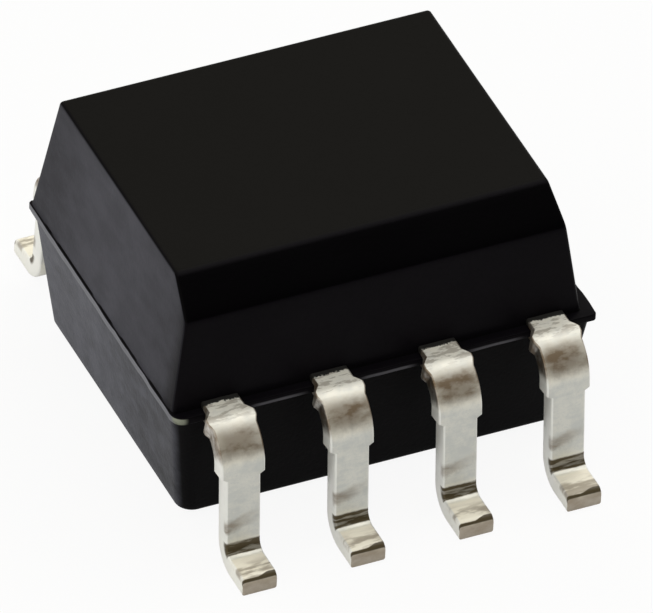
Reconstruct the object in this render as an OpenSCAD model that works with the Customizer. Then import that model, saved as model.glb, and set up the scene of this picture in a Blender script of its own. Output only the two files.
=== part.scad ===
// Eight-lead small-outline optocoupler: one black epoxy moulding in two drafted halves, eight formed
// gull-wing leads, and the two light channels sealed inside it.
// X runs along the rows of leads, Y across them, Z up from the board.
// The origin is on the board, under the middle of the part.

/* [Lead rows] */
// Spacing of the leads along a row
pitch = 1.27; // [1.25:0.01:1.35]
// Width over the toes of both rows
span = 6.15; // [6.0:0.01:6.4]

/* [Lead form] */
// Thickness of the lead strip
lead_t = 0.22; // [0.18:0.01:0.24]
// Width of the leg and foot
lead_w = 0.40; // [0.34:0.01:0.44]
// Width of the shoulder, down to the step
shoulder_w = 0.51; // [0.46:0.01:0.56]
// Width of the neck where the lead leaves the moulding
neck_w = 0.43; // [0.38:0.01:0.5]
// Length of the neck beyond the edge of the band
neck_len = 0.07; // [0.04:0.01:0.1]
// Width over the two stubs left where the dam bar was cut away
stub_w = 0.61; // [0.56:0.01:0.66]
// Length of a stub along the strip
stub_len = 0.05; // [0.03:0.01:0.08]
// Length of the slope before and after a stub
stub_slope = 0.09; // [0.06:0.01:0.12]
// Height above the board at which the shoulder narrows to the leg
step_z = 1.20; // [1.0:0.01:1.24]
// Length of the ramp at the step and at the die pads
ramp = 0.03; // [0.02:0.01:0.05]
// Outer radius of the bend at the shoulder
shoulder_r = 0.50; // [0.36:0.01:0.52]
// Inner radius of the bend above the foot
foot_r = 0.12; // [0.08:0.01:0.16]
// Length of the foot beyond the outer face of the leg
foot_len = 0.43; // [0.36:0.01:0.5]
// Radius to which shearing has rolled the top edge of the toe
toe_roll = 0.07; // [0.03:0.01:0.09]
// Outward lean of the leg from the vertical, in degrees
leg_lean = 4.5; // [2:0.5:7]

/* [Moulding] */
// Length over the band at the parting plane
band_len = 4.96; // [4.9:0.01:5.2]
// Width over the band at the parting plane
band_wid = 3.97; // [3.9:0.01:4.1]
// Thickness of the band where the two mould halves met
band_t = 0.09; // [0.06:0.01:0.14]
// Corner radius of the band
band_corner = 0.05; // [0.04:0.01:0.12]
// Corner radius of the band beside lead 1, where the flash has worn round
worn_corner = 0.15; // [0.05:0.01:0.18]
// Gap between the board and the underside of the moulding
standoff = 0.10; // [0.05:0.01:0.2]
// Height of the lower half, up to the band
lower_h = 1.50; // [1.4:0.01:1.6]
// Height of the upper half, above the band
upper_h = 1.475; // [1.4:0.01:1.6]
// How far the lower half stands in from the edge of the band
lower_inset = 0.05; // [0.03:0.01:0.1]
// How far the upper half stands in from the edge of the band
upper_inset = 0.085; // [0.06:0.01:0.12]
// Draft of the four lower faces, in degrees
lower_draft = 7.5; // [5:0.5:9]
// Draft of the two long upper faces, in degrees
side_draft = 6.0; // [5:0.5:8]
// Draft of the two upper end faces, in degrees
end_draft = 8.25; // [7:0.25:10]
// Offset of the upper mould half against the lower one, along the rows
mismatch_x = -0.06; // [-0.08:0.01:0]
// Offset of the upper mould half against the lower one, across the rows
mismatch_y = 0.04; // [0:0.01:0.05]

/* [Chamfer and edges] */
// Width of the chamfer that marks the side of leads 1 to 4, seen from above
chamfer_w = 0.43; // [0.3:0.01:0.5]
// Slope of the chamfer against the top face, in degrees
chamfer_slope = 40; // [35:1:45]
// Softness of the edge between the chamfer and the face below it
chamfer_blend = 0.02; // [0.01:0.005:0.03]
// Radius of the edges round the top face
top_edge = 0.04; // [0.02:0.01:0.06]
// Corner radius of the upper half
upper_corner = 0.04; // [0.03:0.01:0.12]
// Corner radius of the lower half
lower_corner = 0.08; // [0.06:0.01:0.16]
// Corner radius of the lower half beside lead 1, which is rounder than the others
blunt_corner = 0.19; // [0.14:0.01:0.24]
// Radius of the edges round the underside
bottom_edge = 0.07; // [0.04:0.01:0.1]

/* [Light channels] */
// How far the emitter leads rise, and the detector leads drop, inside the moulding
set = 0.60; // [0.55:0.01:0.65]
// Length of the die pads, along the rows
pad_len = 1.48; // [1.3:0.01:1.5]
// Width of the die pads, across the rows
pad_wid = 0.84; // [0.8:0.01:0.9]
// How far a pad reaches past the middle of its own lead, towards the end of the part
pad_reach = 0.20; // [0.16:0.01:0.22]
// Gap between a pad and the end of the bonding finger beside it
finger_gap = 0.20; // [0.15:0.01:0.25]
// Slope of the leads between the lead plane and their own row, in degrees
set_slope = 55; // [48:1:62]
// Radius of the two bends that make the slope, on the middle line of the strip
set_r = 0.16; // [0.13:0.01:0.2]
// How far inside the band's edge the leads start to slope
set_depth = 0.35; // [0.3:0.01:0.4]
// Side of the square emitter die
emitter_side = 0.28; // [0.25:0.01:0.34]
// Thickness of the emitter die
emitter_t = 0.18; // [0.15:0.01:0.2]
// Side of the square detector die
detector_side = 0.46; // [0.4:0.01:0.5]
// Thickness of the detector die
detector_t = 0.20; // [0.15:0.01:0.22]
// Thickness of the silver-filled adhesive under each die
attach_t = 0.03; // [0.02:0.005:0.04]
// How far the adhesive shows round each die
attach_rim = 0.02; // [0.01:0.01:0.03]
// Diameter of the clear silicone that fills the light path
gel_d = 0.78; // [0.72:0.01:0.79]
// Diameter of the bond wires
wire_d = 0.04; // [0.03:0.005:0.05]
// Height of a wire's loop over the face of its die
wire_loop = 0.16; // [0.12:0.01:0.2]
// Distance of a wire's far bond from the tip of its finger
wire_land = 0.18; // [0.12:0.01:0.25]

/* [Hidden] */

// facets along each kind of curve
corner_n = 7;
edge_n = 4;
shoulder_n = 18;
foot_n = 9;
toe_n = 4;
set_n = 5;
wire_sides = 8;
wire_n = 16;

// heights above the board
band_z = standoff + lower_h;
parting_z = band_z + band_t;
top_z = parting_z + upper_h;
lead_z = band_z + band_t / 2;

// outlines at the parting plane: [x0, x1, y0, y1]
band_box = [-band_len / 2, band_len / 2, -band_wid / 2, band_wid / 2];
lower_box = grow(band_box, -lower_inset);
upper_box = shift(grow(band_box, -upper_inset), mismatch_x, mismatch_y);

// plan sizes of the light channels
pad_mid_x = 1.5 * pitch + pad_reach - pad_len / 2;
pad_inner_x = pad_mid_x - pad_len / 2;
finger_end = pad_wid / 2 + finger_gap;
die_gap = 2 * set - lead_t;

// ---- outlines and lofts -------------------------------------------------------------------------

function grow(b, d) = [b[0] - d, b[1] + d, b[2] - d, b[3] + d];
function shift(b, dx, dy) = [b[0] + dx, b[1] + dx, b[2] + dy, b[3] + dy];

// the larger of two lines, with the corner between them rounded off
function soft_max(a, b, k) = (a + b) / 2 + sqrt(pow((a - b) / 2, 2) + k * k);

// the same radius at all four corners
function even(r) = [r, r, r, r];

// one level of a loft: a rectangle at height z, with its corner radii from the far right one round
function ring(b, radii, z) = [
    for (corner = [0:3])
        let (r = radii[corner],
             cx = corner == 0 || corner == 3 ? b[1] - r : b[0] + r,
             cy = corner < 2 ? b[3] - r : b[2] + r)
        for (i = [0:corner_n])
            let (a = 90 * (corner + i / corner_n))
            [cx + r * cos(a), cy + r * sin(a), z]
];

// joins rings of equal length into one closed skin
module loft(rings) {
    n = len(rings[0]);
    last = len(rings) - 1;
    sides = [for (k = [0:last - 1]) for (i = [0:n - 1])
        [k * n + i, (k + 1) * n + i, (k + 1) * n + (i + 1) % n, k * n + (i + 1) % n]];
    floor_face = [for (i = [0:n - 1]) i];
    roof_face = [for (i = [n - 1:-1:0]) last * n + i];
    polyhedron(points = [for (r = rings) for (p = r) p], faces = concat(sides, [floor_face, roof_face]));
}

// ---- moulding -----------------------------------------------------------------------------------

// outline of the lower half at height z, and its rounded bottom edge
lower_radii = [lower_corner, lower_corner, blunt_corner, lower_corner];
function lower_at(z) = grow(lower_box, -(band_z - z) * tan(lower_draft));
lower_rings = concat(
    [for (i = [0:edge_n])
        let (a = 90 * i / edge_n, inset = bottom_edge * (1 - sin(a)), z = standoff + bottom_edge * (1 - cos(a)))
        ring(grow(lower_at(z), -inset), [for (r = lower_radii) r - inset / 2], z)],
    [ring(lower_box, lower_radii, band_z)]);

band_radii = [band_corner, band_corner, worn_corner, band_corner];
band_rings = [for (z = [band_z, parting_z]) ring(band_box, band_radii, z)];

// outline of the upper half at height z: drafted faces, and the chamfer over leads 1 to 4
chamfer_h = chamfer_w * tan(chamfer_slope);
top_front_y = upper_box[2] + (upper_h - chamfer_h) * tan(side_draft) + chamfer_w;
function upper_at(z) =
    let (up = z - parting_z, ends = up * tan(end_draft), sides = up * tan(side_draft))
    [upper_box[0] + ends, upper_box[1] - ends,
     soft_max(upper_box[2] + sides, top_front_y - (top_z - z) / tan(chamfer_slope), chamfer_blend),
     upper_box[3] - sides];
blend_h = 6 * chamfer_blend;
chamfer_z = top_z - chamfer_h;
upper_levels = [parting_z, for (i = [-4:4]) chamfer_z + blend_h * i / 4];
upper_rings = concat(
    [for (z = upper_levels) ring(upper_at(z), even(upper_corner), z)],
    [for (i = [0:edge_n])
        let (a = 90 * i / edge_n, inset = top_edge * (1 - cos(a)), z = top_z - top_edge * (1 - sin(a)))
        ring(grow(upper_at(z), -inset), even(upper_corner - inset / 2), z)]);

module body() {
    color("#202023")
    difference() {
        loft(concat(lower_rings, band_rings, upper_rings));
        all_leads();
        all_channels();
    }
}

// ---- leads --------------------------------------------------------------------------------------

// A lead is stamped flat and then formed, and it is modelled the same way. Its middle line runs in the
// plane (u, z), where u is the distance out from the middle of the part. Each station on the line is
// [u, z, heading, left, right, roll]: the heading of the strip, its two edges there, and how far its
// upper face is rolled down.

function unit(a) = [cos(a), sin(a)];
function left_of(a) = [-sin(a), cos(a)];

function station(u, z, a, edges, roll = 0) = [u, z, a, edges[0], edges[1], roll];

// stations round a bend of radius r at the corner point c, from heading a0 to heading a1
function bend(c, a0, a1, r, n, edges) =
    let (turn = a1 - a0, side = sign(turn), run = r * tan(abs(turn) / 2),
         hub = c - run * unit(a0) + side * r * left_of(a0))
    [for (i = [0:n])
        let (a = a0 + turn * i / n, p = hub - side * r * left_of(a))
        station(p[0], p[1], a, edges)];

// middle line of the leg, and the places where the shoulder starts and the leg meets the foot
leg_heading = leg_lean - 90;
function leg_u(z) = span / 2 - foot_len - lead_t / 2 / cos(leg_lean) - z * tan(leg_lean);
shoulder_mid_r = shoulder_r - lead_t / 2;
shoulder_start = leg_u(lead_z) - shoulder_mid_r * tan(-leg_heading / 2);
foot_corner = [leg_u(lead_t / 2), lead_t / 2];

// the two corners of the slope inside the moulding
slope_u = band_wid / 2 - set_depth;
slope_run = set / tan(set_slope);

function centred(width) = [-width / 2, width / 2];
pad_edges = [-pad_reach, pad_len - pad_reach];

// edges of the strip at distance s beyond the edge of the band: the neck, the stubs of the dam bar and
// the shoulder
stub_start = neck_len + stub_slope;
stub_end = stub_start + stub_len;
function edges_at(s) =
    centred(lookup(s, [[neck_len, neck_w], [stub_start, stub_w], [stub_end, stub_w],
                       [stub_end + stub_slope, shoulder_w]]));

// the part of the strip inside the moulding, from its tip to the neck; way is 1 for up and -1 for down
function inner_stations(way, pad) =
    let (z = lead_z + way * set, slope = -way * set_slope)
    concat(
        pad ? [station(-pad_wid / 2, z, 0, pad_edges),
               station(pad_wid / 2, z, 0, pad_edges),
               station(pad_wid / 2 + ramp, z, 0, centred(neck_w))]
            : [station(finger_end, z, 0, centred(neck_w))],
        bend([slope_u - slope_run, z], 0, slope, set_r, set_n, centred(neck_w)),
        bend([slope_u, lead_z], slope, 0, set_r, set_n, centred(neck_w)));

// the formed gull wing outside the moulding
outer_stations = concat(
    [for (i = [0:shoulder_n])
        let (a = leg_heading * i / shoulder_n,
             p = [shoulder_start, lead_z - shoulder_mid_r] + shoulder_mid_r * left_of(a),
             s = shoulder_start - band_wid / 2 - shoulder_mid_r * a * PI / 180)
        station(p[0], p[1], a, edges_at(s))],
    [station(leg_u(step_z), step_z, leg_heading, centred(shoulder_w)),
     station(leg_u(step_z - ramp), step_z - ramp, leg_heading, centred(lead_w))],
    bend(foot_corner, leg_heading, 0, foot_r + lead_t / 2, foot_n, centred(lead_w)),
    [for (i = [0:toe_n])
        let (a = 90 * i / toe_n, u = span / 2 - toe_roll * (1 - sin(a)), drop = toe_roll * (1 - cos(a)))
        station(u, lead_t / 2, 0, centred(lead_w), drop)]);

// section of the strip at a station: four corners, seen along the strip
function section(s) =
    let (p = [s[0], s[1]], n = left_of(s[2]), over = p + (lead_t / 2 - s[5]) * n, under = p - lead_t / 2 * n)
    [[s[3], -over[0], over[1]], [s[3], -under[0], under[1]],
     [s[4], -under[0], under[1]], [s[4], -over[0], over[1]]];

module strip(way, pad) {
    loft([for (s = concat(inner_stations(way, pad), outer_stations)) section(s)]);
}

// Leads 1 to 4 stand on the chamfered side from left to right, and 5 to 8 come back on the far side.
// The outer lead of each pair carries a die pad, and the inner one a bonding finger.
function lead_x(i) = (i <= 4 ? i - 2.5 : 6.5 - i) * pitch;
module lead(i) {
    emitter_row = i <= 4;
    left_half = lead_x(i) < 0;
    pad = abs(lead_x(i)) > pitch;
    color("#cfccc2")
    translate([lead_x(i), 0, 0])
    mirror([left_half ? 0 : 1, 0, 0])
    mirror([0, emitter_row ? 0 : 1, 0])
    strip(emitter_row ? 1 : -1, pad);
}

module all_leads() {
    for (i = [1:8]) lead(i);
}

// ---- light channels -----------------------------------------------------------------------------

// Channel a is on the left and channel b on the right. In each one the emitter die hangs under its
// raised pad and the detector die sits on its lowered pad, face to face across the clear silicone.
// In every module here, side is -1 for channel a and 1 for channel b. A solid that is used as a cutter
// is sunk a little way into what it sits on, so that no skin is left between two pockets.

emitter_face = lead_z + set - lead_t / 2;
detector_face = lead_z - set + lead_t / 2;
emitter_seat = emitter_face - attach_t;
detector_seat = detector_face + attach_t;
cutter_sink = 0.01;

// a square block about the middle of a channel, between the heights z0 and z1
module channel_block(side, width, z0, z1) {
    translate([side * pad_mid_x - width / 2, -width / 2, z0])
    cube([width, width, z1 - z0]);
}

module emitter_attach(side, sink = 0) {
    color("#b9bcc0")
    channel_block(side, emitter_side + 2 * attach_rim, emitter_seat, emitter_face + sink);
}

module emitter_die(side, sink = 0) {
    color("#6e2f33")
    channel_block(side, emitter_side, emitter_seat - emitter_t, emitter_seat + sink);
}

module detector_attach(side, sink = 0) {
    color("#b9bcc0")
    channel_block(side, detector_side + 2 * attach_rim, detector_face - sink, detector_seat);
}

module detector_die(side, sink = 0) {
    color("#4a5468")
    channel_block(side, detector_side, detector_seat - sink, detector_seat + detector_t);
}

// A bond wire is half an oval loop that leaves its die and lands on the finger square to both faces.
// way is 1 for a loop that stands up and -1 for one that hangs down.
function wire_point(from, to, way, t) =
    from + (1 - cos(t)) / 2 * (to - from) + [0, 0, way * wire_loop * sin(t)];
function wire_section(from, to, way, t) =
    let (flat = [to[0] - from[0], to[1] - from[1], 0],
         ahead = flat / norm(flat),
         across = [-ahead[1], ahead[0], 0],
         rise = (to[2] - from[2]) / 2 * sin(t) + way * wire_loop * cos(t),
         along = norm(flat) / 2 * sin(t),
         inward = (rise * ahead - [0, 0, along]) / norm([rise, along]))
    [for (k = [0:wire_sides - 1])
        let (a = 360 * (k + 0.5) / wire_sides)
        wire_point(from, to, way, t) + wire_d / 2 * (cos(a) * inward + sin(a) * across)];
function sunk(section, depth) = [for (p = section) p - [0, 0, depth]];
module wire(from, to, way, sink) {
    loop = [for (k = [0:wire_n]) wire_section(from, to, way, 180 * k / wire_n)];
    color("#d8b45a")
    loft(sink == 0 ? loop : concat([sunk(loop[0], way * sink)], loop, [sunk(loop[wire_n], way * sink)]));
}

finger_x = pitch / 2;
wire_y = finger_end + wire_land;

module emitter_wire(side, sink = 0) {
    wire([side * pad_mid_x, 0, emitter_seat - emitter_t], [side * finger_x, -wire_y, emitter_face], -1, sink);
}

module detector_wire(side, sink = 0) {
    wire([side * pad_mid_x, 0, detector_seat + detector_t], [side * finger_x, wire_y, detector_face], 1, sink);
}

// the column of silicone between the two pads
module light_path(side, sink = 0) {
    translate([side * pad_mid_x, 0, detector_face - sink])
    cylinder(h = die_gap + 2 * sink, d = gel_d, $fn = 48);
}

module gel(side) {
    color("#e6ecea", 0.6)
    difference() {
        light_path(side);
        emitter_attach(side, cutter_sink);
        emitter_die(side, cutter_sink);
        emitter_wire(side, cutter_sink);
        detector_attach(side, cutter_sink);
        detector_die(side, cutter_sink);
        detector_wire(side, cutter_sink);
    }
}

// the space that the channels take up in the moulding, besides their leads
module all_channels() {
    for (side = [-1, 1]) {
        light_path(side, cutter_sink);
        emitter_wire(side, cutter_sink);
        detector_wire(side, cutter_sink);
    }
}

body();
lead(1);  // lead_1
lead(2);  // lead_2
lead(3);  // lead_3
lead(4);  // lead_4
lead(5);  // lead_5
lead(6);  // lead_6
lead(7);  // lead_7
lead(8);  // lead_8
emitter_die(-1);  // emitter_die_a
emitter_die(1);  // emitter_die_b
detector_die(-1);  // detector_die_a
detector_die(1);  // detector_die_b
emitter_attach(-1);  // emitter_attach_a
emitter_attach(1);  // emitter_attach_b
detector_attach(-1);  // detector_attach_a
detector_attach(1);  // detector_attach_b
emitter_wire(-1);  // emitter_wire_a
emitter_wire(1);  // emitter_wire_b
detector_wire(-1);  // detector_wire_a
detector_wire(1);  // detector_wire_b
gel(-1);  // gel_a
gel(1);  // gel_b
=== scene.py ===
# %% [markdown]
# # A small black chip package with formed leads
#
# This lesson dresses a finished CAD model in Blender. The object is an eight-lead surface-mount chip
# package: an epoxy block about five millimetres long, and eight tinned legs bent like a gull's wing.
# The CAD model is loaded first and stays fixed. Everything made here sits in the same frame, in metres,
# with the board at height zero. The order is: frame, camera, node helpers, studio, moulding, leads,
# inner pieces.

# %% Load the fixed frame
import math

import bmesh
import bpy
from mathutils import Matrix, Vector, noise


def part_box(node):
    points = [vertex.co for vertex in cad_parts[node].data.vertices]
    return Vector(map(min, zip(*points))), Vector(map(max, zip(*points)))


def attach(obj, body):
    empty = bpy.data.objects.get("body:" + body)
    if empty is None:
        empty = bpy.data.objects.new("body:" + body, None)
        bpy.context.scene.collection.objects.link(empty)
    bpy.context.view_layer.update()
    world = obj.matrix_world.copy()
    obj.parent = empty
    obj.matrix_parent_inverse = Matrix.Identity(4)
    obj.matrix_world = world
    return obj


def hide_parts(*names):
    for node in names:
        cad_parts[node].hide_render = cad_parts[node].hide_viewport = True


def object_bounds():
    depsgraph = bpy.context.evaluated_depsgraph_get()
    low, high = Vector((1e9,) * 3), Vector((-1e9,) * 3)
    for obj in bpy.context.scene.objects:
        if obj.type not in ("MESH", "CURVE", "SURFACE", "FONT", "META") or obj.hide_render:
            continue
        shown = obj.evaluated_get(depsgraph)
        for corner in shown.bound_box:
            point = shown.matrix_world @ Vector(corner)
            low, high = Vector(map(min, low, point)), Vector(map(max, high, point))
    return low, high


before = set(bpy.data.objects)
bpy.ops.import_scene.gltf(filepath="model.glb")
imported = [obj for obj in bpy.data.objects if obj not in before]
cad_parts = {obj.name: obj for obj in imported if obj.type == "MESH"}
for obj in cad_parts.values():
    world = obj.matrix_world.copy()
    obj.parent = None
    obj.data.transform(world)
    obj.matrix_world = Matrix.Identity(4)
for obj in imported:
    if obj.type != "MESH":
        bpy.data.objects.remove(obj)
cad_low, cad_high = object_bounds()
MM = 0.001
print("CAD box, mm:", [round(v / MM, 3) for v in (*cad_low, *cad_high)])

# %% [markdown]
# ## The camera
#
# A chip this small is best looked at from far away through a long lens, so that parallel edges stay
# nearly parallel. The camera stands 235 mm off and sees a field about 7 mm wide. It could be placed by
# hand in the viewport. Two angles and a roll about the line of sight are used, because they can be read
# and changed one at a time.

# %% Place the camera
VIEW_AZIMUTH = math.radians(-25.89)
VIEW_ELEVATION = math.radians(39.81)
VIEW_ROLL = math.radians(3.0)
VIEW_DISTANCE = 235 * MM
VIEW_CENTRE = Vector((0, 0, 1.5)) * MM
FIELD_WIDTH = 7.026 * MM
FRAMING_RIGHT = 0.1646 * MM
FRAMING_UP = -0.3863 * MM


def view_axes(azimuth, elevation, roll):
    """The camera's right, up and back directions."""
    back = Vector((math.sin(azimuth) * math.cos(elevation),
                   -math.cos(azimuth) * math.cos(elevation),
                   math.sin(elevation)))
    right = Vector((math.cos(azimuth), math.sin(azimuth), 0))
    up = back.cross(right)
    turned_right = math.cos(roll) * right + math.sin(roll) * up
    turned_up = math.cos(roll) * up - math.sin(roll) * right
    return turned_right, turned_up, back


def make_camera():
    """A long lens on the line of sight, aimed a little off the middle of the part."""
    right, up, back = view_axes(VIEW_AZIMUTH, VIEW_ELEVATION, VIEW_ROLL)
    camera = bpy.data.objects.new("camera", bpy.data.cameras.new("camera"))
    bpy.context.collection.objects.link(camera)
    aim = VIEW_CENTRE + FRAMING_RIGHT * right + FRAMING_UP * up
    turn = Matrix((right, up, back)).transposed().to_4x4()
    camera.matrix_world = Matrix.Translation(aim + VIEW_DISTANCE * back) @ turn
    camera.data.lens = camera.data.sensor_width * VIEW_DISTANCE / FIELD_WIDTH
    camera.data.clip_start = 0.1 * VIEW_DISTANCE
    camera.data.clip_end = 20 * VIEW_DISTANCE
    bpy.context.scene.camera = camera
    return camera


camera = make_camera()
bpy.context.scene.view_settings.view_transform = "Standard"
print("lens, mm:", round(camera.data.lens))

# %% [markdown]
# ## A short way to write nodes
#
# Node trees are easier to read as arithmetic. A Value wraps one socket, and an operator on it adds the
# Math node that does the sum, so `1 - mask * 0.5` works as it does in plain Python. The reflected
# operators are for sums that start with a plain number.

# %% Values
class Value:
    """One output socket. Arithmetic on it adds Math nodes to its graph."""

    def __init__(self, graph, socket):
        self.graph = graph
        self.socket = socket

    def math(self, operation, *operands):
        return self.graph.node("ShaderNodeMath", {"operation": operation}, *operands)

    def __add__(self, other):
        return self.math("ADD", self, other)

    def __radd__(self, other):
        return self.math("ADD", other, self)

    def __sub__(self, other):
        return self.math("SUBTRACT", self, other)

    def __rsub__(self, other):
        return self.math("SUBTRACT", other, self)

    def __mul__(self, other):
        return self.math("MULTIPLY", self, other)

    def __rmul__(self, other):
        return self.math("MULTIPLY", other, self)

    def __truediv__(self, other):
        return self.math("DIVIDE", self, other)

    def __rtruediv__(self, other):
        return self.math("DIVIDE", other, self)

    def __neg__(self):
        return self.math("MULTIPLY", self, -1)

    def absolute(self):
        return self.math("ABSOLUTE", self)

    def clamped(self):
        return self.math("MINIMUM", self.math("MAXIMUM", self, 0), 1)

    def rise(self, start, end):
        """0 below start, 1 above end, and a soft S between them."""
        settings = {"interpolation_type": "SMOOTHSTEP"}
        return self.graph.node("ShaderNodeMapRange", settings, self, start, end, 0, 1)

    def band(self, start, end, soft):
        """1 between start and end, with soft sides."""
        return self.rise(start - soft, start + soft) * (1 - self.rise(end - soft, end + soft))


print("a value has:", [name for name in vars(Value) if not name.startswith("_")])

# %% [markdown]
# A Graph adds every other node with one method: its settings first, then the values or links of its
# sockets. The same two classes serve the shaders and the Geometry Nodes, because both kinds of tree
# share their Math, Mix and noise nodes.

# %% Graphs
class Graph:
    """A node tree, with one method that adds any node."""

    def __init__(self, tree):
        self.tree = tree

    def node(self, kind, settings=None, *inputs, out=0, **named):
        node = self.tree.nodes.new(kind)
        for name, value in (settings or {}).items():
            if name == "stops":
                self.set_stops(node.color_ramp, value)
            else:
                setattr(node, name, value)
        for key, value in [*enumerate(inputs), *named.items()]:
            socket = node.inputs[key if isinstance(key, int) else key.replace("_", " ")]
            self.feed(socket, value)
        return Value(self, node.outputs[out]) if node.outputs else node

    def feed(self, socket, value):
        if isinstance(value, Value):
            self.tree.links.new(value.socket, socket)
        elif value is not None:
            socket.default_value = value

    @staticmethod
    def set_stops(ramp, stops):
        while len(ramp.elements) < len(stops):
            ramp.elements.new(0.5)
        for element, (position, colour) in zip(ramp.elements, stops):
            element.position = position
            element.color = colour

    def other(self, value, out):
        """Another output of the node that made a value, by its name or number."""
        return Value(self, value.socket.node.outputs[out])

    def mixed(self, colour_a, colour_b, factor):
        """From colour a at factor 0 to colour b at factor 1."""
        node = self.tree.nodes.new("ShaderNodeMix")
        node.data_type = "RGBA"
        for index, value in ((0, factor), (6, colour_a), (7, colour_b)):
            self.feed(node.inputs[index], value)
        return Value(self, node.outputs[2])

    def axes(self, vector):
        """The x, y and z of a vector."""
        x = self.node("ShaderNodeSeparateXYZ", None, vector)
        return x, self.other(x, 1), self.other(x, 2)

    def joined(self, x, y, z):
        return self.node("ShaderNodeCombineXYZ", None, x, y, z)

    def noise(self, place, scale, detail=4.0, roughness=0.5, seed=0.0):
        """Smooth noise from 0 to 1. The seed moves it to another part of the pattern."""
        settings = {"noise_dimensions": "4D"}
        sizes = {"Vector": place, "W": seed, "Scale": scale, "Detail": detail, "Roughness": roughness}
        return self.node("ShaderNodeTexNoise", settings, **sizes)


print("a graph has:", [name for name in vars(Graph) if not name.startswith("_")])

# %% [markdown]
# A colour is easiest to judge as it shows on a screen, but nodes work in linear light. One function
# turns the first into the second, so that every finish below can be written in screen values.

# %% Colours
def rgb(red, green, blue):
    """A colour written as it shows on a screen, 0 to 255, turned into the linear values nodes use."""
    linear = []
    for value in (red, green, blue):
        share = value / 255
        linear.append(share / 12.92 if value <= 10 else ((share + 0.055) / 1.055) ** 2.4)
    return (*linear, 1.0)


print("grey 128 is", round(rgb(128, 128, 128)[0], 3), "in linear light")

# %% [markdown]
# ## The studio
#
# Black epoxy and tin both show their surroundings more than their own colour, so the studio matters as
# much as the finishes. An even grey world would leave the leads flat. The part stands in a white tent
# instead. Its cloth is a little warm, which gives the tin its cream highlights, and it is brighter on
# the left, which lifts the left end of the block. One dark opening on the viewer's side keeps the
# chamfer nearly black and draws the dark band round each shoulder of the leads. To the camera the tent
# is plain white.

# %% Studio: the tent
OPENING_DIRECTION = Vector((0.3, -0.84, 0.43)).normalized()
OPENING_EDGE = (0.72, 0.86)
OPENING_LIGHT = 0.1
TENT_LIGHT = 0.86
TENT_COLOUR = (1.0, 0.985, 0.9, 1.0)
LEFT_GAIN = 0.16
WHITE = (1, 1, 1, 1)


def ray_kinds(graph):
    """1 for what the camera sees directly, and 1 for what a mirror or glass sees."""
    seen = graph.node("ShaderNodeLightPath", None)
    mirrored = graph.other(seen, "Is Glossy Ray") + graph.other(seen, "Is Transmission Ray")
    return seen, mirrored.clamped()


def make_world():
    """The light that comes from every side, brighter and darker by direction."""
    world = bpy.data.worlds.new("light_tent")
    bpy.context.scene.world = world
    world.use_nodes = True
    world.node_tree.nodes.clear()
    graph = Graph(world.node_tree)
    direction = graph.node("ShaderNodeTexCoord", None)
    facing = graph.node("ShaderNodeVectorMath", {"operation": "DOT_PRODUCT"},
                        direction, tuple(OPENING_DIRECTION), out="Value")
    tent = 1 - facing.rise(*OPENING_EDGE) * (1 - OPENING_LIGHT)
    tent = tent * (1 - LEFT_GAIN * graph.axes(direction)[0])
    seen, mirrored = ray_kinds(graph)
    strength = seen + (1 - seen) * tent * (TENT_LIGHT + (1 - TENT_LIGHT) * mirrored)
    background = graph.node("ShaderNodeBackground", None, graph.mixed(TENT_COLOUR, WHITE, seen), strength)
    graph.node("ShaderNodeOutputWorld", None, background)


make_world()
print("tent light:", TENT_LIGHT, "and in the opening:", round(TENT_LIGHT * OPENING_LIGHT, 3))

# %% [markdown]
# The floor has to look white and still take a shadow, and it must not light the part from below like a
# lamp. So it glows only for some rays: nearly white for the camera, half as much for reflections, and
# not at all for the light that falls on the part. Under the glow it is plain white paint.

# %% Studio: the floor
FLOOR_SIZE = 400 * MM
FLOOR_PAINT = (0.86, 0.86, 0.86, 1)
GLOW_SEEN = 0.92
GLOW_MIRRORED = 0.5


def new_material(name):
    """An empty material and its graph."""
    material = bpy.data.materials.new(name)
    material.use_nodes = True
    material.node_tree.nodes.clear()
    return material, Graph(material.node_tree)


def make_floor():
    """A white sheet at height zero, which is staged and so isn't part of the object."""
    half = FLOOR_SIZE / 2
    mesh = bpy.data.meshes.new("floor")
    mesh.from_pydata([(-half, -half, 0), (half, -half, 0), (half, half, 0), (-half, half, 0)],
                     [], [(0, 1, 2, 3)])
    floor = bpy.data.objects.new("floor", mesh)
    bpy.context.collection.objects.link(floor)
    material, graph = new_material("floor_white")
    seen, mirrored = ray_kinds(graph)
    paint = graph.node("ShaderNodeBsdfDiffuse", None, FLOOR_PAINT)
    glow = graph.node("ShaderNodeEmission", None, WHITE, 1.0)
    share = seen * GLOW_SEEN + mirrored * GLOW_MIRRORED
    graph.node("ShaderNodeOutputMaterial", None,
               graph.node("ShaderNodeMixShader", None, share, paint, glow))
    mesh.materials.append(material)


make_floor()
print("floor:", round(FLOOR_SIZE / MM), "mm square")

# %% [markdown]
# One soft box high over the part, a little to its right, gives the shadow its place. The box is eight
# times as long as the part is high, so its own highlights stay soft.

# %% Studio: the lamp
LAMP_SIZE = 26 * MM
LAMP_DIRECTION = Vector((0.34, 0.1, 0.94))
LAMP_DISTANCE = 42 * MM
LAMP_POWER = 0.0042


def make_lamp():
    """The soft box, facing the part."""
    light = bpy.data.lights.new("soft_box", "AREA")
    light.size = LAMP_SIZE
    light.energy = LAMP_POWER
    lamp = bpy.data.objects.new("soft_box", light)
    bpy.context.collection.objects.link(lamp)
    stand = LAMP_DIRECTION.normalized() * LAMP_DISTANCE
    lamp.location = stand
    lamp.rotation_mode = "QUATERNION"
    lamp.rotation_quaternion = stand.to_track_quat("Z", "Y")


make_lamp()
print("lamp radiance:", round(LAMP_POWER / math.pi / LAMP_SIZE ** 2, 2))

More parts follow.
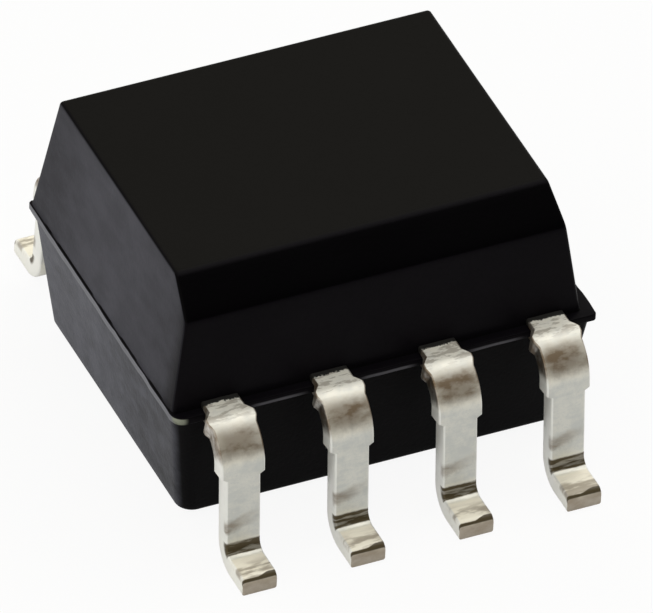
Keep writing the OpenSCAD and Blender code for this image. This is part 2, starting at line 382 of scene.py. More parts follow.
# %% [markdown]
# ## What the finishes share
#
# Every pattern is laid out in millimetres on the object's own coordinates, so it stays put when the part
# is turned or the camera moves. A texture wrapped round by hand would need seams. A pattern in space has
# none, and its scale can be written as so many grains to the millimetre.

# %% Material helpers
def millimetres(graph):
    """The place on the object, in millimetres."""
    place = graph.node("ShaderNodeTexCoord", None, out="Object")
    return graph.node("ShaderNodeVectorMath", {"operation": "SCALE"}, place, Scale=1 / MM)


def stretched(graph, place, scale):
    """The same place with each axis stretched, for patterns that run one way."""
    return graph.node("ShaderNodeVectorMath", {"operation": "MULTIPLY"}, place, scale)


def finish_surface(graph, settings):
    """The Principled shader with these sockets, straight to the output."""
    shader = graph.tree.nodes.new("ShaderNodeBsdfPrincipled")
    for name, value in settings.items():
        graph.feed(shader.inputs[name], value)
    graph.node("ShaderNodeOutputMaterial", None, Value(graph, shader.outputs[0]))


def bumped(graph, height, depth):
    """The surface's normal, tipped by a height field that is depth metres deep."""
    return graph.node("ShaderNodeBump", None, Strength=1.0, Distance=depth, Height=height)


print("pattern scale:", round(1 / MM), "units to the metre")

# %% [markdown]
# ## The epoxy
#
# Moulding compound is black resin full of ground silica. The mould gives it a fine matt grain, and it
# shines only at a glancing angle. Its colour isn't the same all round, and much of that is painted light
# and shade: the top is painted a lighter, warm black as lit, the chamfer and the lower half are painted
# nearly black as shade, and the end faces are painted paler as lit, over a mottled grain. The thin band
# where the two mould halves met is broken resin. Painted highlights run along its lower lip between the
# leads and along its rim on the ends, and its rounded near-left corner carries a pale painted highlight.
#
# A picture wrapped round the block could show all this. Masks made from the place and from the way a face
# looks do it without a picture, and they work from every side. The first cell makes those masks.

# %% Zones of the block
first_lead, next_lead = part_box("lead_2")[0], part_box("lead_3")[0]
PITCH = next_lead.x - first_lead.x
# heights, places and reaches in millimetres, as the finish reads them
BAND_LOW = 1.60
BAND_HIGH = 1.69
LIP_HEIGHT = 0.042
ROW_END = 1.8
NEAR_EDGE = 1.65
# place and reach of the painted highlight at the band's rounded near-left corner
CORNER_HIGHLIGHT_PLACE = (-2.40, -1.93, 1.65)
CORNER_HIGHLIGHT_REACH = (0.05, 0.11)


class Zones:
    """Masks, kept by name."""


def block_zones(graph, place):
    """Masks for the parts of the block, from the place in millimetres and the surface's direction."""
    across, back, height = graph.axes(place)
    to_side, _, upward = graph.axes(graph.node("ShaderNodeTexCoord", None, out="Normal"))
    zone = Zones()
    zone.back = back
    zone.lower = 1 - height.rise(BAND_LOW - 0.03, BAND_LOW + 0.01)
    zone.top = upward.rise(0.9, 0.98) * height.rise(BAND_HIGH + 0.2, BAND_HIGH + 0.4)
    zone.chamfer = upward.rise(0.4, 0.55) * (1 - upward.rise(0.75, 0.9))
    zone.end = to_side.absolute().rise(0.7, 0.985)
    # masks for painted light on the end faces: their lit middle, and the near corner of the upper half,
    # darkened as painted shade
    zone.end_middle = 1 - back.absolute().rise(0.3, 2.1)
    zone.near_corner = zone.end * (1 - zone.lower) * (-back).rise(NEAR_EDGE - 0.15, NEAR_EDGE + 0.15)
    # the band, and the painted highlight along its lower lip, which stops at each lead
    upright = 1 - upward.absolute().rise(0.5, 0.9)
    zone.band = height.band(BAND_LOW - 0.006, BAND_HIGH - 0.008, 0.005)
    zone.rim = zone.band * upright
    half_pitch = PITCH / 2 / MM
    from_lead = (across + half_pitch).math("PINGPONG", across + half_pitch, half_pitch)
    between = from_lead.rise(0.25, 0.45) * (1 - across.absolute().rise(ROW_END - 0.1, ROW_END + 0.1))
    lip = height.band(BAND_LOW - 0.006, BAND_LOW + LIP_HEIGHT, 0.008)
    zone.lip = lip * upright * between * (1 - zone.end)
    # painted highlight on the rim round the near-left corner
    away = graph.node("ShaderNodeVectorMath", {"operation": "DISTANCE"}, place, CORNER_HIGHLIGHT_PLACE, out="Value")
    zone.worn = zone.rim * (1 - away.rise(*CORNER_HIGHLIGHT_REACH))
    return zone


print("pitch of the leads:", round(PITCH / MM, 3), "mm")

# %% [markdown]
# The finish lays one colour over another through those masks. Fine noise makes the grain, a coarser one
# clouds the black, and a stretched one leaves the flow streaks that resin shows on flat faces. Gloss and
# sheen are the same all over, so they are plain numbers on the shader.

# %% The moulding's finish
RESIN = rgb(11, 9, 13)
RESIN_CLOUD = rgb(16, 14, 18)
# painted light and shade: a lighter, warm top, and a nearly black lower half and chamfer
RESIN_TOP_LIT = rgb(19, 18, 15)
RESIN_SHADED = rgb(2, 1.5, 2.5)
# the end faces are painted paler, standing in for the light that falls on them from the left
RESIN_END = rgb(72, 72, 81)
RESIN_END_LOW = rgb(85, 86, 97)
# painted highlight along the band's lower lip between the leads
LIT_LIP = rgb(92, 91, 98)
# painted highlight on the band's rim at the ends
RIM_HIGHLIGHT = rgb(126, 127, 136)
# painted highlight at the band's rounded near-left corner
CORNER_HIGHLIGHT = rgb(146, 150, 137)
RESIN_GLOSS = 0.03
RESIN_SHEEN = 0.1
SHEEN_ROUGHNESS = 0.28
SHEEN_TINT = (0.93, 0.95, 1.0, 1.0)
GRAIN_PER_MM = 21
SPECKLES_PER_MM = 5
CLOUDS_PER_MM = 0.9
STREAKS_PER_MM = (1.0, 1.9, 3.6)
GRAIN_DEPTH = 0.0035 * MM


def epoxy_finish():
    """Black resin, with painted light and shade by face, paler painted ends, and painted highlights on its
    broken band.
    """
    material, graph = new_material("black_epoxy")
    place = millimetres(graph)
    zone = block_zones(graph, place)
    grain = graph.noise(place, GRAIN_PER_MM, 5, 0.62, seed=1.0)
    cloud = graph.noise(place, CLOUDS_PER_MM, 3, 0.55, seed=2.0)
    speckle = graph.noise(place, SPECKLES_PER_MM, 4, 0.65, seed=14.0).rise(0.35, 0.65)
    streaks = graph.noise(stretched(graph, place, STREAKS_PER_MM), 1.0, 4, 0.6, seed=11.0)
    soft_streaks = streaks.rise(0.3, 0.7)
    # black, by face: the top painted lighter and warm as lit, the lower half and the chamfer painted nearly
    # black as shade
    colour = graph.mixed(RESIN, RESIN_CLOUD, (cloud * 0.55 + grain * 0.45).rise(0.35, 0.75))
    colour = graph.mixed(colour, RESIN_TOP_LIT, zone.top * 0.7)
    colour = graph.mixed(colour, RESIN_SHADED, (zone.lower * 0.8 + zone.chamfer * 0.9).clamped())
    # the ends, painted paler as lit from the left: brighter in their middle and, on the lower half, towards
    # the back, and darker at the near corner as painted shade; the streaks and speckles are grain
    patch = 0.36 + 0.4 * zone.end_middle * (1 - 0.6 * zone.lower) + 0.3 * soft_streaks
    patch = patch + zone.lower * (0.05 + 0.14 * soft_streaks + 0.3 * speckle + 0.15 * zone.back)
    patch = patch * (1 - 0.8 * zone.near_corner) * (1 - 0.2 * zone.lower)
    end_colour = graph.mixed(RESIN_END, RESIN_END_LOW, zone.lower)
    colour = graph.mixed(colour, end_colour, (zone.end * patch).clamped())
    # the band: painted highlights along its lower lip, on its rim at the ends, and at its rounded near-left
    # corner
    colour = graph.mixed(colour, LIT_LIP, (zone.lip * (0.45 + 0.7 * streaks.rise(0.3, 0.6))).clamped())
    # painted highlight on the rim at the ends
    colour = graph.mixed(colour, RIM_HIGHLIGHT, zone.rim * zone.end * (0.7 + 0.4 * streaks))
    # the painted highlight at the near-left corner
    colour = graph.mixed(colour, CORNER_HIGHLIGHT, zone.worn * (0.4 + 0.6 * streaks.rise(0.35, 0.55)))
    relief = grain * (0.55 + zone.lower * 0.6) + cloud * 0.4
    finish_surface(graph, {
        "Base Color": colour,
        "Roughness": 0.3 + cloud * 0.08 + zone.lower * 0.04 + zone.band * 0.16,
        "Specular IOR Level": RESIN_GLOSS,
        "Sheen Weight": RESIN_SHEEN,
        "Sheen Roughness": SHEEN_ROUGHNESS,
        "Sheen Tint": SHEEN_TINT,
        "Normal": bumped(graph, relief, GRAIN_DEPTH),
    })
    return material


epoxy = epoxy_finish()
print("nodes in the epoxy:", len(epoxy.node_tree.nodes))

# %% [markdown]
# ## The moulding
#
# The block was cast in two drafted halves that never line up perfectly: the upper half sits a few
# hundredths of a millimetre off the lower. A scaled cube with a bevel would give every edge one radius.
# A loft is used instead: rounded rectangles stacked from the underside to the top, with the band of flash
# between the halves and a chamfer that narrows the outlines on one side only.

# %% Sizes of the moulding
band_low, band_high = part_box("body")
BAND_HALF_LENGTH = band_high.x
BAND_HALF_WIDTH = band_high.y
UNDERSIDE = band_low.z
TOP = band_high.z
SPLIT_LOW = BAND_LOW * MM
SPLIT_HIGH = BAND_HIGH * MM
LOWER_INSET = 0.05 * MM
UPPER_INSET = 0.085 * MM
LOWER_SLOPE = math.tan(math.radians(7.5))
SIDE_SLOPE = math.tan(math.radians(6.0))
END_SLOPE = math.tan(math.radians(8.25))
MISMATCH = (-0.06 * MM, 0.04 * MM)
CHAMFER_WIDTH = 0.43 * MM
CHAMFER_SLOPE = math.tan(math.radians(40))
CHAMFER_BLEND = 0.02 * MM
TOP_EDGE = 0.04 * MM
BOTTOM_EDGE = 0.07 * MM
UPPER_CORNER = 0.04 * MM
LOWER_CORNERS = (0.08 * MM, 0.08 * MM, 0.19 * MM, 0.08 * MM)
BAND_CORNERS = (0.05 * MM, 0.045 * MM, 0.15 * MM, 0.045 * MM)
BAND_LIP = 0.012 * MM
LEDGE_FILLET = 0.012 * MM
SIDE_POINTS = 44
CORNER_POINTS = 9
print("moulding:", round(2 * BAND_HALF_LENGTH / MM, 2), "by", round(2 * BAND_HALF_WIDTH / MM, 2), "mm")

# %% [markdown]
# Each level of the block is a rectangle with four corner radii of its own, because one corner of the band
# is worn round and one corner of the lower half is blunt. A ring is four arcs joined by straight sides.
# The sides get many points too, although they are straight, so that the broken edge has points to move.

# %% One ring of the moulding
def rounded_rectangle(box, radii, z):
    """Points round a rectangle (x0, x1, y0, y1). radii start at the far right corner, anticlockwise."""
    x0, x1, y0, y1 = box
    corners = ((x1, y1, 0), (x0, y1, 90), (x0, y0, 180), (x1, y0, 270))
    points = []
    for (corner_x, corner_y, turn), radius in zip(corners, radii):
        hub_x = corner_x - math.copysign(radius, corner_x)
        hub_y = corner_y - radius if turn < 180 else corner_y + radius
        for step in range(CORNER_POINTS + 1):
            angle = math.radians(turn + 90 * step / CORNER_POINTS)
            points.append(Vector((hub_x + radius * math.cos(angle), hub_y + radius * math.sin(angle), z)))
    ring = []
    for index, point in enumerate(points):
        ring.append(point)
        following = points[(index + 1) % len(points)]
        if index % (CORNER_POINTS + 1) == CORNER_POINTS:
            for step in range(1, SIDE_POINTS):
                ring.append(point.lerp(following, step / SIDE_POINTS))
    return ring


def grown(box, distance):
    """The rectangle, with every side moved out by this distance."""
    return (box[0] - distance, box[1] + distance, box[2] - distance, box[3] + distance)


print("points on a ring:", 4 * (CORNER_POINTS + SIDE_POINTS))

# %% [markdown]
# The outline at any height follows from the draft: it grows up to the split, then shrinks, and faster on
# the ends than on the sides. The chamfer is a second slope on the front side alone. A cut would leave a
# knife edge where the two slopes meet, and a softened maximum of the two rounds it.

# %% The outline at a height
band_box = (-BAND_HALF_LENGTH, BAND_HALF_LENGTH, -BAND_HALF_WIDTH, BAND_HALF_WIDTH)
lower_box = grown(band_box, -LOWER_INSET)
plain_upper = grown(band_box, -UPPER_INSET)
upper_box = (plain_upper[0] + MISMATCH[0], plain_upper[1] + MISMATCH[0],
             plain_upper[2] + MISMATCH[1], plain_upper[3] + MISMATCH[1])
chamfer_drop = CHAMFER_WIDTH * CHAMFER_SLOPE
chamfer_foot = TOP - chamfer_drop
chamfer_front = upper_box[2] + (chamfer_foot - SPLIT_HIGH) * SIDE_SLOPE + CHAMFER_WIDTH


def softened_maximum(a, b, blend):
    """The larger of two values, with the corner between them rounded."""
    return (a + b) / 2 + math.hypot((a - b) / 2, blend)


def lower_outline(z):
    """The rectangle of the lower half at this height."""
    return grown(lower_box, -(SPLIT_LOW - z) * LOWER_SLOPE)


def upper_outline(z):
    """The rectangle of the upper half at this height, with the chamfer on its front."""
    rise = z - SPLIT_HIGH
    front = softened_maximum(upper_box[2] + rise * SIDE_SLOPE,
                             chamfer_front - (TOP - z) / CHAMFER_SLOPE, CHAMFER_BLEND)
    return (upper_box[0] + rise * END_SLOPE, upper_box[1] - rise * END_SLOPE, front,
            upper_box[3] - rise * SIDE_SLOPE)


print("the chamfer meets the front at", round(chamfer_foot / MM, 2), "mm")

# %% [markdown]
# The rings are stacked from the underside up, closer together where an edge turns. Three functions make
# them: one for the lower half, one for the band of flash and one for the upper half.

# %% The rings from the underside to the top
def spread(start, end, count):
    """count numbers from start up to, but not including, end."""
    return [start + (end - start) * step / count for step in range(count)]


def lower_rings():
    """The flat underside, its rounded edge, and the lower faces."""
    rings = []
    for inset in (3 * BOTTOM_EDGE, 1.3 * BOTTOM_EDGE):
        rings.append(rounded_rectangle(grown(lower_outline(UNDERSIDE), -inset), LOWER_CORNERS, UNDERSIDE))
    for angle in spread(0, 90, 8):
        inset = BOTTOM_EDGE * (1 - math.sin(math.radians(angle)))
        z = UNDERSIDE + BOTTOM_EDGE * (1 - math.cos(math.radians(angle)))
        radii = [radius - inset / 2 for radius in LOWER_CORNERS]
        rings.append(rounded_rectangle(grown(lower_outline(z), -inset), radii, z))
    for z in spread(UNDERSIDE + BOTTOM_EDGE, SPLIT_LOW, 16):
        rings.append(rounded_rectangle(lower_outline(z), LOWER_CORNERS, z))
    rings.append(rounded_rectangle(lower_box, LOWER_CORNERS, SPLIT_LOW))
    return rings


def band_rings():
    """The underside of the band, its two rounded lips, and the ledge on top of it."""
    rings = []
    for share in (0.2, 0.8):
        radii = [low + (high - low) * share for low, high in zip(LOWER_CORNERS, BAND_CORNERS)]
        rings.append(rounded_rectangle(grown(lower_box, LOWER_INSET * share), radii, SPLIT_LOW))
    lips = ((SPLIT_LOW + BAND_LIP, (-90, -60, -30, 0)), (SPLIT_HIGH - BAND_LIP, (0, 30, 60, 90)))
    for middle, turns in lips:
        for turn in turns:
            inset = BAND_LIP * (1 - math.cos(math.radians(turn)))
            z = middle + BAND_LIP * math.sin(math.radians(turn))
            rings.append(rounded_rectangle(grown(band_box, -inset), BAND_CORNERS, z))
    ledge_corners = [UPPER_CORNER + LEDGE_FILLET] * 4
    rings.append(rounded_rectangle(grown(upper_box, LEDGE_FILLET), ledge_corners, SPLIT_HIGH))
    return rings


def upper_rings():
    """The upper faces, the chamfer, the rounded top edge and the flat top."""
    turn_start = chamfer_foot - 5 * CHAMFER_BLEND
    turn_end = chamfer_foot + 5 * CHAMFER_BLEND
    heights = spread(SPLIT_HIGH + LEDGE_FILLET, turn_start, 14)
    heights += spread(turn_start, turn_end, 12) + spread(turn_end, TOP - TOP_EDGE, 5)
    rings = [rounded_rectangle(upper_outline(z), [UPPER_CORNER] * 4, z) for z in heights]
    for angle in [*spread(0, 90, 8), 90]:
        inset = TOP_EDGE * (1 - math.cos(math.radians(angle)))
        z = TOP - TOP_EDGE * (1 - math.sin(math.radians(angle)))
        radii = [UPPER_CORNER - inset / 2] * 4
        rings.append(rounded_rectangle(grown(upper_outline(z), -inset), radii, z))
    for inset in (1.3 * TOP_EDGE, 4 * TOP_EDGE):
        rings.append(rounded_rectangle(grown(upper_outline(TOP), -inset), [UPPER_CORNER] * 4, TOP))
    return rings


rings = lower_rings() + band_rings() + upper_rings()
print("moulding rings:", len(rings), "of", len(rings[0]), "points")

# %% [markdown]
# The rings are joined into one closed skin. A flat face next to a rounded edge must keep its flat
# shading, so normals are weighted by face area, and creases sharper than a set angle stay crisp.

# %% Skin the moulding
def plain_mesh(piece):
    """Turns what the modifiers make into the piece's own mesh, and drops the modifiers."""
    depsgraph = bpy.context.evaluated_depsgraph_get()
    made = piece.evaluated_get(depsgraph)
    mesh = bpy.data.meshes.new_from_object(made, preserve_all_data_layers=True, depsgraph=depsgraph)
    piece.modifiers.clear()
    piece.data = mesh


def shade(piece, crease_degrees):
    """Smooth shading that keeps creases crisp and broad faces flat."""
    piece.data.shade_smooth()
    piece.data.set_sharp_from_angle(angle=math.radians(crease_degrees))
    weighted = piece.modifiers.new("weighted", "WEIGHTED_NORMAL")
    weighted.keep_sharp = True
    plain_mesh(piece)


def place_piece(name, mesh, material):
    """A new object with this mesh and finish, at the origin."""
    piece = bpy.data.objects.new(name, mesh)
    bpy.context.collection.objects.link(piece)
    mesh.materials.clear()
    mesh.materials.append(material)
    return piece


def skin(name, rings, material):
    """One closed skin over rings that have equal numbers of points."""
    count = len(rings[0])
    points = [point for ring in rings for point in ring]
    faces = [tuple(reversed(range(count)))]
    for level in range(len(rings) - 1):
        for index in range(count):
            after = (index + 1) % count
            low, high = level * count, (level + 1) * count
            faces.append((low + index, low + after, high + after, high + index))
    faces.append(tuple(range((len(rings) - 1) * count, len(points))))
    mesh = bpy.data.meshes.new(name)
    mesh.from_pydata(points, [], faces)
    return place_piece(name, mesh, material)


print("faces in the skin:", (len(rings) - 1) * len(rings[0]) + 2)

# %% [markdown]
# Flash is the thin fin of resin squeezed out between the mould halves. It breaks off when the frame is
# trimmed, so its edge is never even. It could be sculpted. Noise at two scales is quicker and can be
# made weaker or stronger with one number: it draws the band's edge in by up to two hundredths of a
# millimetre. The faces get a far weaker wave, because moulded faces are never quite flat.

# %% Break the flash unevenly
FLASH_BREAK = 0.022 * MM
FLASH_BREAKS_PER_MM = 3.2
FINE_BREAKS = 5
MOULDING_CREASE_DEGREES = 32
FACE_WAVE = 0.004 * MM
FACE_WAVES_PER_MM = 0.7


def broken_flash(point):
    """The point, drawn in towards the block where the flash has broken off."""
    slack = 0.001 * MM
    on_band = SPLIT_LOW - slack <= point.z <= SPLIT_HIGH + slack
    outward = Vector((0, 0, 0))
    if abs(point.x) > BAND_HALF_LENGTH - LOWER_INSET * 0.9:
        outward.x = math.copysign(1, point.x)
    if abs(point.y) > BAND_HALF_WIDTH - LOWER_INSET * 0.9:
        outward.y = math.copysign(1, point.y)
    if not on_band or outward.length == 0:
        wave = noise.noise(point / MM * FACE_WAVES_PER_MM)
        return point - Vector((point.x, point.y, 0)).normalized() * FACE_WAVE * (0.5 + 0.5 * wave)
    coarse = noise.noise(Vector((point.x, point.y, 0)) / MM * FLASH_BREAKS_PER_MM)
    fine = noise.noise(point / MM * FLASH_BREAKS_PER_MM * FINE_BREAKS)
    depth = max(0.0, 0.35 + coarse + 0.3 * fine) / 1.65
    return point - outward.normalized() * FLASH_BREAK * depth


moulding = skin("moulding", [[broken_flash(point) for point in ring] for ring in rings], epoxy)
shade(moulding, MOULDING_CREASE_DEGREES)
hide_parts("body")
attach(moulding, "root")
print("moulding faces:", len(moulding.data.polygons))

# %% [markdown]
# ## The path of a lead
#
# A lead is one strip of metal, stamped flat and then bent. It starts inside the block as a die pad or a
# finger, steps to the height of the split, comes out through the band, turns down round the shoulder and
# turns out again onto the board. Box modelling would do for one lead. All eight follow one rule, so the
# rule is written down: these sizes first, then the path.

# %% Sizes of a lead
STRIP = 0.22 * MM
HALF_SPAN = cad_high.y
FOOT_LENGTH = 0.43 * MM
LEG_LEAN = math.radians(4.5)
SHOULDER_OUTER = 0.50 * MM
FOOT_INNER = 0.12 * MM
STEP_HEIGHT = 1.20 * MM
RAMP = 0.03 * MM
NECK = 0.43 * MM
NECK_LENGTH = 0.06 * MM
STUB = 0.575 * MM
STUB_LENGTH = 0.05 * MM
STUB_SLOPE = 0.07 * MM
SHOULDER = 0.51 * MM
LEG = 0.40 * MM
LEAD_PLANE = (SPLIT_LOW + SPLIT_HIGH) / 2
ROW_SET = 0.60 * MM
SET_SLOPE = math.radians(55)
SET_RADIUS = 0.16 * MM
SET_DEPTH = 0.35 * MM
PAD_WIDTH = 0.84 * MM
PAD_LENGTH = 1.48 * MM
PAD_REACH = 0.20 * MM
FINGER_GAP = 0.20 * MM
TOE_ROLL = 0.07 * MM
EDGE_ROLL = 0.024 * MM
DOWN = LEG_LEAN - math.pi / 2
SET_STEPS = 8
SHOULDER_STEPS = 48
FOOT_STEPS = 22
TOE_STEP_DEGREES = 15
print("half the span:", round(HALF_SPAN / MM, 3), "mm")

# %% [markdown]
# The path is a row of stations. Each says how far out and how high it is, at what angle the strip runs
# there, where the strip's two edges are, and how far the upper face is rolled down. Bends are arcs of
# stations, and straight stretches need only a few. A curve object could follow the same line, but it
# couldn't carry two edges that move apart on their own.

# %% Bends and straights
def heading(angle):
    """The direction at this angle, in the plane of distance out and height."""
    return Vector((math.cos(angle), math.sin(angle)))


def bend(corner, angle_in, angle_out, radius, steps):
    """Stations round a bend on the middle line, each (out, height, angle)."""
    turn = angle_out - angle_in
    side = math.copysign(1, turn)
    start = corner - heading(angle_in) * radius * math.tan(abs(turn) / 2)
    hub = start + side * radius * heading(angle_in + math.pi / 2)
    stations = []
    for step in range(steps + 1):
        angle = angle_in + turn * step / steps
        place = hub - side * radius * heading(angle + math.pi / 2)
        stations.append((place.x, place.y, angle))
    return stations


def leg_out(height):
    """How far out the middle of the leg is at this height."""
    return HALF_SPAN - FOOT_LENGTH - STRIP / 2 / math.cos(LEG_LEAN) - height * math.tan(LEG_LEAN)


def centred(width):
    """The two edges of a strip this wide."""
    return (-width / 2, width / 2)


def edged(stations, edges):
    """The stations, each with the places of the strip's two edges and no roll."""
    return [(*station, *edges, 0.0) for station in stations]


def straight(start, end, angle, edges, count):
    """Stations along a straight stretch, ends left out."""
    return edged([(start[0] + (end[0] - start[0]) * step / count,
                   start[1] + (end[1] - start[1]) * step / count, angle) for step in range(1, count)], edges)


print("stations round a right angle:", len(bend(Vector((0, 0)), 0.0, math.pi / 2, MM, 8)))

# %% [markdown]
# The die cut the strip to width before it was bent: a narrow neck where it leaves the block, two stubs
# where the dam bar held it to its neighbours, a wide shoulder, and a step down to the leg. The widths are
# given against the distance along the strip, so they go round the bend as they did on the real one.

# %% The path of the strip
def edges_beyond_band(distance):
    """The strip's edges this far beyond the band: the neck, the stubs of the dam bar and the shoulder."""
    stub_start = NECK_LENGTH + STUB_SLOPE
    stub_end = stub_start + STUB_LENGTH
    widths = ((NECK_LENGTH, NECK), (stub_start, STUB), (stub_end, STUB), (stub_end + STUB_SLOPE, SHOULDER))
    if distance <= NECK_LENGTH:
        return centred(NECK)
    for (before, width_before), (after, width_after) in zip(widths, widths[1:]):
        if distance <= after:
            share = (distance - before) / (after - before)
            return centred(width_before + (width_after - width_before) * share)
    return centred(SHOULDER)


def inner_stations(way, has_pad):
    """From the tip inside the moulding to where the strip runs level out of it."""
    inner_height = LEAD_PLANE + way * ROW_SET
    slope = -way * SET_SLOPE
    outer_corner = BAND_HALF_WIDTH - SET_DEPTH
    inner_corner = outer_corner - ROW_SET / math.tan(SET_SLOPE)
    if has_pad:
        pad = (-PAD_REACH, PAD_LENGTH - PAD_REACH)
        half = PAD_WIDTH / 2
        stations = edged([(-half, inner_height, 0.0), (half, inner_height, 0.0)], pad)
        stations += edged([(half + RAMP, inner_height, 0.0)], centred(NECK))
    else:
        stations = edged([(PAD_WIDTH / 2 + FINGER_GAP, inner_height, 0.0)], centred(NECK))
    first_bend = bend(Vector((inner_corner, inner_height)), 0.0, slope, SET_RADIUS, SET_STEPS)
    second_bend = bend(Vector((outer_corner, LEAD_PLANE)), slope, 0.0, SET_RADIUS, SET_STEPS)
    return stations + edged(first_bend + second_bend, centred(NECK))


def shoulder_stations():
    """Over the neck and the stubs, round the shoulder, and down to the step where the strip narrows."""
    radius = SHOULDER_OUTER - STRIP / 2
    shoulder = bend(Vector((leg_out(LEAD_PLANE), LEAD_PLANE)), 0.0, DOWN, radius, SHOULDER_STEPS)
    stations = []
    for out, height, angle in shoulder:
        distance = shoulder[0][0] - BAND_HALF_WIDTH - angle * radius
        stations.append((out, height, angle, *edges_beyond_band(distance), 0.0))
    return stations + edged([(leg_out(STEP_HEIGHT), STEP_HEIGHT, DOWN)], centred(SHOULDER))


def foot_stations():
    """Down the leg, round onto the board, and along to the toe, whose upper face is rolled down."""
    step_foot = (leg_out(STEP_HEIGHT - RAMP), STEP_HEIGHT - RAMP)
    stations = edged([(*step_foot, DOWN)], centred(LEG))
    foot = bend(Vector((leg_out(STRIP / 2), STRIP / 2)), DOWN, 0.0, FOOT_INNER + STRIP / 2, FOOT_STEPS)
    stations += straight(step_foot, foot[0], DOWN, centred(LEG), 5)
    stations += edged(foot, centred(LEG))
    stations += straight(foot[-1], (HALF_SPAN - TOE_ROLL, STRIP / 2), 0.0, centred(LEG), 4)
    for angle in range(0, 91, TOE_STEP_DEGREES):
        out = HALF_SPAN - TOE_ROLL * (1 - math.sin(math.radians(angle)))
        drop = TOE_ROLL * (1 - math.cos(math.radians(angle)))
        stations.append((out, STRIP / 2, 0.0, *centred(LEG), drop))
    return stations


def lead_stations(way, has_pad):
    """The whole strip, from its tip inside the moulding to its toe. way is 1 for up and -1 for down."""
    return inner_stations(way, has_pad) + shoulder_stations() + foot_stations()


print("stations on a pad lead:", len(lead_stations(1, True)))

# %% [markdown]
# The finish needs to know where along the strip it is: on the foot, in the hollow above it, on the leg,
# round the shoulder or on the neck. Measured from the toe, the limits of these zones follow from the
# sizes and the radii of the bends. They are worked out here, so they stay right when a size changes.

# %% Distances from the toe, in millimetres
BLEED_REACH = 1.91


def arc(radius):
    """How long a bend of this radius is, from the leg to the level."""
    return radius * (math.pi / 2 - LEG_LEAN) / MM


foot_tangent = (FOOT_INNER + STRIP / 2) * math.tan((math.pi / 2 - LEG_LEAN) / 2) / MM
shoulder_tangent = (SHOULDER_OUTER - STRIP / 2) * math.tan((math.pi / 2 - LEG_LEAN) / 2) / MM
leg_length = (LEAD_PLANE - STRIP / 2) / math.cos(LEG_LEAN) / MM
FOOT_FLAT = (HALF_SPAN - leg_out(STRIP / 2)) / MM - foot_tangent
FOOT_BEND = FOOT_FLAT + arc(FOOT_INNER + STRIP / 2)
LEG_TOP = FOOT_BEND + leg_length - foot_tangent - shoulder_tangent
SHOULDER_TOP = LEG_TOP + arc(SHOULDER_OUTER - STRIP / 2)
BLEED_START = SHOULDER_TOP + (leg_out(LEAD_PLANE) / MM - shoulder_tangent - BLEED_REACH)
print("foot bend", round(FOOT_FLAT, 2), "to", round(FOOT_BEND, 2),
      "shoulder bend", round(LEG_TOP, 2), "to", round(SHOULDER_TOP, 2))

# %% [markdown]
# ## The finish of the leads
#
# The strip is copper alloy under matt tin. The forming tool rubs grey and brown scuffs into the outer
# bend, and part of that brown is a painted dark reflection. A darker mark runs at a slant low on the leg.
# The hollow above the foot is painted dark, partly flux and tarnish and partly painted shade, and a
# painted dark reflection runs along the toe. The top of the foot is painted cream as a highlight. A little
# resin has bled onto the neck. The edges are sheared and bright; round the shoulder they are painted
# brown, partly bare copper and partly a painted reflection of the black block. The end of the foot is
# cut after plating, so bare alloy shows there.
#
# Painting such marks by hand would take one picture for each lead. The Geometry Nodes tree below keeps
# four values on every point instead, and the finish reads them: the distance from the toe, the height
# above the strip's middle, the distance to one side of it, and whether the face is flat or a sheared
# edge. Masks made from them are the same zones on all eight leads, and the noise in them differs.

